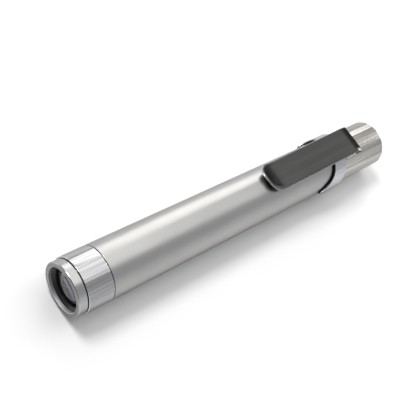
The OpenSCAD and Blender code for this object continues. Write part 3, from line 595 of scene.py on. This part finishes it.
# Tail button.
# Moulded black rubber with a low dome and two shallow grooves, held from inside by its rim.
rubber = moulded("button_rubber", (0.022, 0.022, 0.024), (0.045, 0.045, 0.048), 0.56, 0.00002)
BUTTON_R, BUTTON_TOP_S, BUTTON_DOME, FACE_R = 4.0, 120.7, 0.4, 3.85
SIDE_TOP_S, RIM_TOP_S, BUTTON_IN_S, RIM_R, RIM_ROUND = 120.1, 118.35, 117.65, 4.8, 0.05
TOUCH_R, TOUCH_W, TOUCH_H = (2.4, 3.1), 0.18, 0.10
reach = np.linspace(0, 1, 49)
face_r = FACE_R * reach
touch = sum(np.exp(-((face_r - r) / TOUCH_W) ** 2) for r in TOUCH_R)
face_s = BUTTON_TOP_S - BUTTON_DOME * reach ** 2 - TOUCH_H * touch
face = np.stack([face_s, face_r], 1)
button_outline = np.concatenate([face, [
    (SIDE_TOP_S + 0.17, BUTTON_R - 0.05), (SIDE_TOP_S + 0.1, BUTTON_R - 0.01),
    (SIDE_TOP_S, BUTTON_R), (RIM_TOP_S + 0.01, BUTTON_R), (RIM_TOP_S, BUTTON_R + 0.02),
    (RIM_TOP_S, RIM_R - RIM_ROUND), (RIM_TOP_S - RIM_ROUND, RIM_R), (BUTTON_IN_S + RIM_ROUND, RIM_R),
    (BUTTON_IN_S, RIM_R - RIM_ROUND), (BUTTON_IN_S, 0)]])
button = turned("button", button_outline, rubber, 128)
fitted(button, "tail_button", "button_rubber", "tail_button")

# Clip blade.
# The clip is one strip of bright-plated spring steel half a millimetre thick. It leaves its
# band as a tongue, folds over at the tail end and runs forward as the blade, which flares at
# its tip. The blade is darker than the rest by painted shade: it takes a dark copy of the
# band's steel, for the dark room that its flat top mirrors, and its edges a strong painted
# highlight.
STRIP_T, BLADE_W, ASIDE, FOLD_SHADE_S = 0.5, 9.4, 0.45, 103.9
EDGE_R, FLAT_INSET = 0.12, 1.2
FOLD_MID_S, FOLD_MID_H = 106.45, 8.88
KNEE_LEAN, KNEE_LEN = math.radians(18), 2.8
FLARE, FLARE_LEN, TIP_S, GRIP_GAP = math.radians(21.5), 7.0, 66.9, 0.15
# Painted shade: the blade's steel is a dark copy of the band's bright steel, and its large edge factor
# paints a highlight on its cut edges.
steel = metal("dark_steel", (0.086, 0.087, 0.084), (0.073, 0.074, 0.072), 0.17, brush_marks,
              0.000001, 0.08, 4.5)
bright_steel = metal("bright_steel", (0.60, 0.60, 0.635), (0.52, 0.52, 0.56), 0.14, brush_marks,
                     0.000001, 0.06, 1.3)


def arc_path(middle, radius, from_a, to_a, count):
    """Points and outward unit normals of an arc in the side view, angles in radians."""
    a = np.linspace(from_a, to_a, count)
    out = np.stack([np.cos(a), np.sin(a)], 1)
    return np.asarray(middle) + radius * out, out


def strip_grid(path, up, run, half_width, lean, thickness, edge):
    """Strip of steel carried along a path in the side view. For each station the section is a
    flat bar with rounded edges: its top row runs straight across, its sides are half rounds
    drawn inwards along the plan's outline, whose half width and outward lean are given.
    path and up are (n, 2) in (place, height), run is the length along the path, and lean is
    the outline's normal as (along the run, across)."""
    turn_a = np.linspace(0, np.pi / 2, 6)
    top_e, top_h = edge * (1 - np.sin(turn_a[::-1])), thickness / 2 - edge * (1 - np.cos(turn_a[::-1]))
    inset = np.concatenate([[edge + FLAT_INSET, edge + 0.05], top_e])
    height = np.concatenate([[thickness / 2] * 2, top_h])
    inset = np.concatenate([inset, inset[::-1]])
    height = np.concatenate([height, -height[::-1]])
    t = run[:, None] - lean[:, :1] * inset[None, :]
    y = np.maximum(half_width[:, None] - lean[:, 1:] * inset[None, :], 0)
    where = np.stack([np.interp(t, run, path[:, k]) for k in (0, 1)], -1)
    normal = np.stack([np.interp(t, run, up[:, k]) for k in (0, 1)], -1)
    normal /= np.linalg.norm(normal, axis=-1, keepdims=True)
    flat = where + normal * height[None, :, None]
    right = np.stack([flat[..., 0] - S_MID, y, AXIS_H + flat[..., 1]], -1)
    left = right[:, ::-1] * np.array([1, -1, 1])
    return np.concatenate([right, left], 1)


BLADE_LAP, TONGUE_LAP = math.radians(-10), math.radians(-4.5)
fold_mid = np.array([FOLD_MID_S, FOLD_MID_H])
fold_r = 0.5
knee_r = KNEE_LEN / math.sin(KNEE_LEAN) + STRIP_T / 2
lean_dir = np.array([math.sin(KNEE_LEAN), math.cos(KNEE_LEAN)])
knee_mid = fold_mid - (knee_r - fold_r) * lean_dir
grip = np.array([TIP_S + FLARE_LEN, BARREL_R + GRIP_GAP + STRIP_T / 2])
gap = knee_mid - grip
slope = math.atan2(gap[1], gap[0]) + math.asin(knee_r / np.linalg.norm(gap))
bend_r = FLARE_LEN / (math.sin(FLARE) + math.sin(slope)) - STRIP_T / 2
bend_mid = grip + bend_r * np.array([-math.sin(slope), math.cos(slope)])
tip_arc, tip_out = arc_path(bend_mid, bend_r, -math.pi / 2 - FLARE, slope - math.pi / 2, 60)
knee_arc, knee_out = arc_path(knee_mid, knee_r, math.pi / 2 + slope, math.pi / 2 - KNEE_LEAN, 24)
fold_arc, fold_out = arc_path(fold_mid, fold_r, math.pi / 2 - KNEE_LEAN, BLADE_LAP, 24)
straight = np.linspace(0, 1, 26)[1:-1, None]
middle = tip_arc[-1] + straight * (knee_arc[0] - tip_arc[-1])
middle_out = np.repeat(knee_out[:1], len(middle), 0)
path = np.concatenate([tip_arc, middle, knee_arc, fold_arc[1:]])
up = np.concatenate([-tip_out, middle_out, knee_out, fold_out[1:]])
run = np.concatenate([[0], np.cumsum(np.linalg.norm(np.diff(path, axis=0), axis=1))])

BOW_R, CORNER_R = 13.5, 3.75
corner_y = BLADE_W / 2 - CORNER_R
bow_a = math.asin(corner_y / (BOW_R - CORNER_R))
corner_t = BOW_R - (BOW_R - CORNER_R) * math.cos(bow_a)
bow = np.linspace(0, bow_a, 14)
corner = np.linspace(bow_a, math.pi / 2, 18)
plan_t = np.concatenate([BOW_R * (1 - np.cos(bow)), corner_t - CORNER_R * np.cos(corner[1:])])
plan_y = np.concatenate([BOW_R * np.sin(bow), corner_y + CORNER_R * np.sin(corner[1:])])
plan_a = np.concatenate([bow, corner[1:]])
beyond = run[run > plan_t[-1] + 0.05]
station = np.concatenate([plan_t, beyond])
blade_half = np.concatenate([plan_y, np.full(len(beyond), BLADE_W / 2)])
blade_lean = np.concatenate([np.stack([-np.cos(plan_a), np.sin(plan_a)], 1),
                             np.tile([0.0, 1.0], (len(beyond), 1))])
blade_path = np.stack([np.interp(station, run, path[:, k]) for k in (0, 1)], 1)
blade_up = np.stack([np.interp(station, run, up[:, k]) for k in (0, 1)], 1)


def strip_on(name, path, up, run, half, lean, material, thin=0.0, under=True):
    """Closed strip from its grid, with its last row drawn together into an end face. The strip
    is set aside a little, as the pressed clip sits on the barrel. Inside the fold, which is
    the strip's under side on the blade and its upper side on the tongue, the colour is
    darkened with painted shade."""
    grid = strip_grid(path, up, run, half, lean, STRIP_T - thin, EDGE_R) + [0, ASIDE, 0]
    end = grid[-1].mean(0, keepdims=True) + 0 * grid[-1]
    end[:, 1] = grid[-1][:, 1]
    grid = np.concatenate([grid, end[None]])
    # Edge columns are brightened: wear on the band and tongue, a painted highlight on the blade's cut
    # edges.
    rim = np.concatenate([[0, 0], np.ones(grid.shape[1] // 4 - 2)])
    rim = np.tile(np.concatenate([rim, rim[::-1]]), 2)
    column = np.arange(len(rim))
    below = (column >= len(rim) // 4) & (column < 3 * len(rim) // 4)
    # Painted shade inside the fold, fading in towards the fold.
    deep = np.clip((np.append(path[:, 0], path[-1:, 0]) - FOLD_SHADE_S) / 0.3, 0, 1)
    gap_shade = deep[:, None] * (below == under)[None, :]
    return surface(name, grid, material, closed_rows=False, edge=rim * (1 - gap_shade), gap_shade=gap_shade)


blade = strip_on("blade", blade_path, blade_up, station, blade_half, blade_lean, steel, thin=0.01)
fitted(blade, "clip_blade", "dark_steel", "clip_blade")

# Clip band and tongue.
# The band lies over the barrel like a saddle, turned a little across it, so that its near arm
# lies further forward. Its arms end below the middle of the sides, behind a rounded nose.
BAND_IN_R, BAND_R, BAND_S, BAND_END_S = 8.13, 8.63, 96.0, 101.1
BAND_SKEW = math.radians(14.5)
FRONT_SWEEP, REAR_SWEEP, SWEEP_POWER = 4.5, 1.3, 2.2
NOSE_H, NOSE_R, ARM_REACH, ARM_END_W, ARM_ROUND, ARM_FLAT = 1.2, 0.6, 3.7, 1.3, 0.6, 0.5


def swept(height):
    """How far an edge has swept forward at a height over the line, for a sweep of one: a power
    of the drop from the barrel's top, as a share of the drop to the nose."""
    return (np.clip(BARREL_R - height, 0, None) / (BARREL_R - NOSE_H)) ** SWEEP_POWER


def arm_edges(height, front_extra):
    """Front and rear edge of the band in its own plane, as places along the torch, for heights
    over the line. The front edge sweeps down to the nose, then a small arc runs round it and a
    straight line back to the arm's end. The rear edge sweeps less. Both close on the middle at
    the very end, along an ellipse that rounds it off."""
    top_s, fall = BAND_S - front_extra, BARREL_R - NOSE_H
    steep = math.atan(SWEEP_POWER * FRONT_SWEEP / fall)
    nose = np.array([top_s - FRONT_SWEEP + NOSE_R * math.cos(steep),
                     NOSE_H - NOSE_R * math.sin(steep)])
    rear_low = BAND_END_S - REAR_SWEEP * swept(-ARM_REACH)
    low = np.array([rear_low - ARM_END_W - front_extra, ARM_FLAT - ARM_REACH])
    drop = low - nose
    leave = math.atan2(drop[1], drop[0]) + 2 * math.pi - math.acos(NOSE_R / np.hypot(*drop))
    down = np.linspace(BAND_R, NOSE_H, 60)
    front = np.stack([top_s - FRONT_SWEEP * swept(down), down], 1)
    round_a = math.pi - steep + (leave - math.pi + steep) * np.linspace(0, 1, 30)[1:]
    front = np.concatenate([front, nose + NOSE_R * np.stack([np.cos(round_a), np.sin(round_a)], 1),
                            [low, low - drop / drop[1] * ARM_FLAT]])
    front_s = np.interp(height, front[::-1, 1], front[::-1, 0])
    rear_s = BAND_END_S - REAR_SWEEP * swept(height)
    close = np.clip((ARM_ROUND - ARM_REACH - height) / ARM_ROUND, 0, 1)
    middle, half = (front_s + rear_s) / 2, (rear_s - front_s) / 2 * np.sqrt(1 - close ** 2)
    return middle - half, middle + half


def saddle_grid(in_r, out_r, front_extra, edge):
    """Curved strip over the barrel. Two parameters: the angle round the barrel, in steps that
    are finest at the noses and the ends, and the place round a flat bar's section with rounded
    edges. arm_edges gives the bar's width from the height, and the turn across the barrel then
    moves each point along by its distance to the side."""
    height = np.concatenate([np.linspace(out_r, 2.0, 60), np.linspace(1.9, -0.2, 50),
                             np.linspace(-0.35, 0.3 - ARM_REACH, 24),
                             -ARM_REACH + 0.25 * (1 - np.sin(np.linspace(0, np.pi / 2, 10)))])
    side = np.arccos(np.clip(height / out_r, -1, 1))
    side = np.concatenate([np.linspace(0, side[1], 6)[:-1], side[1:]])
    angle = np.concatenate([-side[:0:-1], side])[:, None]
    corner_a = np.linspace(0, np.pi / 2, 5)
    inset, drop = edge * (1 - np.cos(corner_a)), edge * (1 - np.sin(corner_a))
    ds = np.concatenate([inset, [edge + 0.05]])
    dr = np.concatenate([-drop, [0.0]])
    ds = np.concatenate([ds, -ds[::-1], -ds, ds[::-1]])
    dr = np.concatenate([dr, dr[::-1], -dr, -dr[::-1]])
    at_rear = np.repeat([0, 1, 1, 0], 6)
    radius = np.repeat([out_r, out_r, in_r, in_r], 6) + dr
    front, rear = arm_edges(out_r * np.cos(angle), front_extra)
    room = np.minimum(1.0, (rear - front) / (2 * edge + 0.2))
    s = np.where(at_rear > 0, rear, front) + ds * room
    radius = radius + 0 * angle
    aside = radius * np.sin(angle)
    s = BAND_S + (s - BAND_S) / math.cos(BAND_SKEW) + aside * math.tan(BAND_SKEW)
    return np.stack([s - S_MID, aside, AXIS_H + radius * np.cos(angle)], -1)


def capped(grid):
    """Grid with a row added at each end, drawn together on the section's middle line."""
    first, last = ((row + row[:, ::-1]) / 2 for row in (grid[:1], grid[-1:]))
    return np.concatenate([first, grid, last])


band = surface("band", capped(saddle_grid(BAND_IN_R, BAND_R, 0.0, 0.12)), bright_steel,
               closed_rows=False)
TONGUE_S, TONGUE_H = 99.9, BAND_IN_R + STRIP_T / 2
HUMP_S, HUMP_END_S, HUMP_EASE, HUMP_H = 101.75, 104.25, 1.1, 0.3
tongue_s = np.concatenate([np.linspace(TONGUE_S, HUMP_S - 0.15, 8),
                           np.linspace(HUMP_S - 0.05, HUMP_END_S + 0.05, 34),
                           np.linspace(HUMP_END_S + 0.15, FOLD_MID_S, 6)])
lift = (np.clip((tongue_s - HUMP_S) / HUMP_EASE, 0, 1)
        * np.clip((HUMP_END_S - tongue_s) / HUMP_EASE, 0, 1))
lift = HUMP_H * (3 * lift ** 2 - 2 * lift ** 3)
tongue_path = np.stack([tongue_s, TONGUE_H + lift], 1)
step = np.gradient(tongue_path, axis=0)
tongue_up = np.stack([-step[:, 1], step[:, 0]], 1)
tongue_up /= np.linalg.norm(tongue_up, axis=1)[:, None]
low_fold, low_out = arc_path(fold_mid, fold_r, -math.pi / 2, TONGUE_LAP, 20)
tongue_path = np.concatenate([tongue_path, low_fold[1:]])
tongue_up = np.concatenate([tongue_up, -low_out[1:]])
tongue_run = np.concatenate([[0], np.cumsum(np.linalg.norm(np.diff(tongue_path, axis=0), axis=1))])
count = len(tongue_run)
tongue = strip_on("tongue", tongue_path, tongue_up, tongue_run, np.full(count, BLADE_W / 2),
                  np.tile([0.0, 1.0], (count, 1)), bright_steel, under=False)
fitted(band, "barrel", "bright_steel", "clip_band")
fitted(tongue, "barrel", "bright_steel", "clip_band")

# Liner.
# A strip of nylon between band and barrel. It shows 0.45 mm ahead of the band as a thin
# black line, which is painted shade: its near-black colour stands in for the shadow in the
# gap under the band's front edge.
nylon = moulded("black_liner", (0.004, 0.004, 0.004), (0.008, 0.008, 0.009), 0.7, 0.000004)
nylon.node_tree.nodes["Principled BSDF"].inputs["Specular IOR Level"].default_value = 0.15
LINER_IN_R, LINER_R, LINER_SHOWS, LINER_EDGE = 7.83, 8.1, 0.45, 0.06
liner = surface("liner", capped(saddle_grid(LINER_IN_R, LINER_R, LINER_SHOWS, LINER_EDGE)), nylon,
                closed_rows=False)
fitted(liner, "barrel", "black_liner", "clip_liner")

# Seals.
# Three rings of moulded black rubber, lightly greased: one in the bezel's skirt, one between
# the head's core and the barrel, one on the spigot under the tail cap.
keep_shape(moulded("black_rubber", (0.014, 0.014, 0.015), (0.026, 0.026, 0.028), 0.34, 0.000006),
           "bezel_o_ring", "core_o_ring", "tail_o_ring")

# Guide pins and switch plunger.
# Ground steel: two pins of 1.2 mm pressed into the bezel's skirt, whose ends run in the focus
# ring's winding grooves, and the pin of 2.4 mm that carries the button's push to the switch.
keep_shape(metal("pin_steel", (0.55, 0.55, 0.56), (0.46, 0.46, 0.48), 0.16, lathe_marks, 0.000001),
           "guide_pins", "switch_plunger")

# Head circlip.
# Open ring of spring steel, blued by its hardening, snapped into a groove of the core to hold
# the focus ring in place.
spring_steel = metal("spring_steel", (0.17, 0.17, 0.19), (0.10, 0.105, 0.135), 0.24, blast_marks,
                     0.000002, 0.1, 1.8)
keep_shape(spring_steel, "head_circlip")

# Head core.
# Turned aluminium, black anodised like the lens ring. The head slides and turns on it, and its
# shank is pressed into the barrel's front.
keep_shape(black_ring, "head_core")

# Light source and its board.
# Yellow phosphor under clear silicone on a black painted board with two soldered wire holes,
# glued into the cup.
phosphor = moulded("led_phosphor", (0.78, 0.60, 0.10), (0.86, 0.70, 0.20), 0.18, 0.000002)
phosphor.node_tree.nodes["Principled BSDF"].inputs["Coat Weight"].default_value = 0.6
phosphor.node_tree.nodes["Principled BSDF"].inputs["Coat Roughness"].default_value = 0.06
keep_shape(phosphor, "led_emitter")
keep_shape(moulded("black_board", (0.012, 0.013, 0.013), (0.024, 0.026, 0.026), 0.28, 0.000003),
           "led_board")

# Cup, tail contact and switch retainer.
# Turned brass, left bare so that it conducts: the cup that holds the light's board and driver,
# the disc that the rear spring presses on, and the threaded ring that locks the switch.
keep_shape(metal("brass", (0.60, 0.40, 0.13), (0.44, 0.27, 0.085), 0.24, lathe_marks, 0.000003,
                 0.14, 1.25), "led_pill", "tail_contact", "switch_retainer")

# Driver board.
# Glass-fibre board with green solder mask, pressed into the cup's back.
keep_shape(moulded("green_board", (0.010, 0.11, 0.042), (0.018, 0.155, 0.062), 0.22, 0.000004),
           "driver_board")

# Cell and switch springs.
# Three wound springs with closed ends. The two that carry current are gold plated: front, 3
# curls of 0.45 mm wire, and rear, 3 curls of 0.6 mm. The switch's is bare steel, 4 curls.


def wound(name, curls, coil_r, wire, from_s, to_s, material):
    """Spring wire carried along a screw line. Two parameters: the turn along the spring, with a
    pitch that eases towards both ends, and the angle round the wire. Half a wire and 0.03 mm
    are left free at each end."""
    turn_at = np.linspace(0, 1, 40 * curls + 1)
    inset = wire / 2 + 0.03
    rise = turn_at - 0.6 * np.sin(2 * np.pi * turn_at) / (2 * np.pi)
    s = from_s + inset + (to_s - from_s - 2 * inset) * rise
    a = 2 * np.pi * curls * turn_at
    line = np.stack([s - S_MID, coil_r * np.sin(a), coil_r * np.cos(a)], 1)
    along = np.gradient(line, axis=0)
    along /= np.linalg.norm(along, axis=1)[:, None]
    out = np.stack([0 * a, np.sin(a), np.cos(a)], 1)
    side = np.cross(along, out)
    round_a = np.linspace(0, 2 * np.pi, 20, endpoint=False)[None, :, None]
    ball = np.sin(np.linspace(0, np.pi / 2, 6))[:-1]
    fade = np.concatenate([ball, np.ones(len(s) - 10), ball[::-1]])[:, None, None] * wire / 2
    grid = line[:, None] + fade * (np.cos(round_a) * out[:, None] + np.sin(round_a) * side[:, None])
    return surface(name, grid + [0, 0, AXIS_H], material, closed_rows=False)


gilt = metal("gilt_spring", (0.72, 0.52, 0.17), (0.60, 0.41, 0.12), 0.16, lathe_marks, 0.000001)
DRIVER_END_S, CELLS_S, CELLS_END_S, CONTACT_S = 14.2, 17.6, 106.6, 111.4
front_coil = wound("front_coil", 3, 1.4, 0.45, DRIVER_END_S, CELLS_S, gilt)
fitted(front_coil, "barrel", "gilt_spring", "front_spring")
tail_coil = wound("tail_coil", 3, 3.2, 0.6, CELLS_END_S, CONTACT_S, gilt)
fitted(tail_coil, "tail_spring", "gilt_spring", "tail_spring")
POCKET_S, PRESS = 113.3, 1.4
switch_coil = wound("switch_coil", 4, 2.0, 0.45, POCKET_S, BUTTON_IN_S, spring_steel)
fitted(switch_coil, "tail_cap", "spring_steel", "switch_spring")
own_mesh(switch_coil)

# Insulator and sleeve.
# Moulded off-white plastic: the washer that keeps the front cell's rim off the core, and the
# tube that centres the cells in the bore.
keep_shape(moulded("pale_plastic", (0.66, 0.64, 0.56), (0.72, 0.70, 0.63), 0.40, 0.000008),
           "front_insulator", "battery_sleeve")

# Cells.
# Two micro cells, 10.5 by 44.5 mm with the terminal: a steel can in a plain blue-grey printed
# film, and a nickel-plated terminal pressed out of its front.
keep_shape(moulded("cell_jacket", (0.035, 0.060, 0.105), (0.050, 0.080, 0.135), 0.20, 0.000002),
           "front_cell", "rear_cell")
keep_shape(metal("cell_steel", (0.56, 0.56, 0.57), (0.47, 0.47, 0.49), 0.20, lathe_marks, 0.000001,
                 0.1), "front_cell_terminal", "rear_cell_terminal")

# Switch body.
# Moulded black plastic with the spring's pocket, held against the cap's step by the retainer.
keep_shape(moulded("dark_plastic", (0.020, 0.020, 0.021), (0.034, 0.034, 0.036), 0.42, 0.00001),
           "switch_body")

bpy.context.view_layer.update()
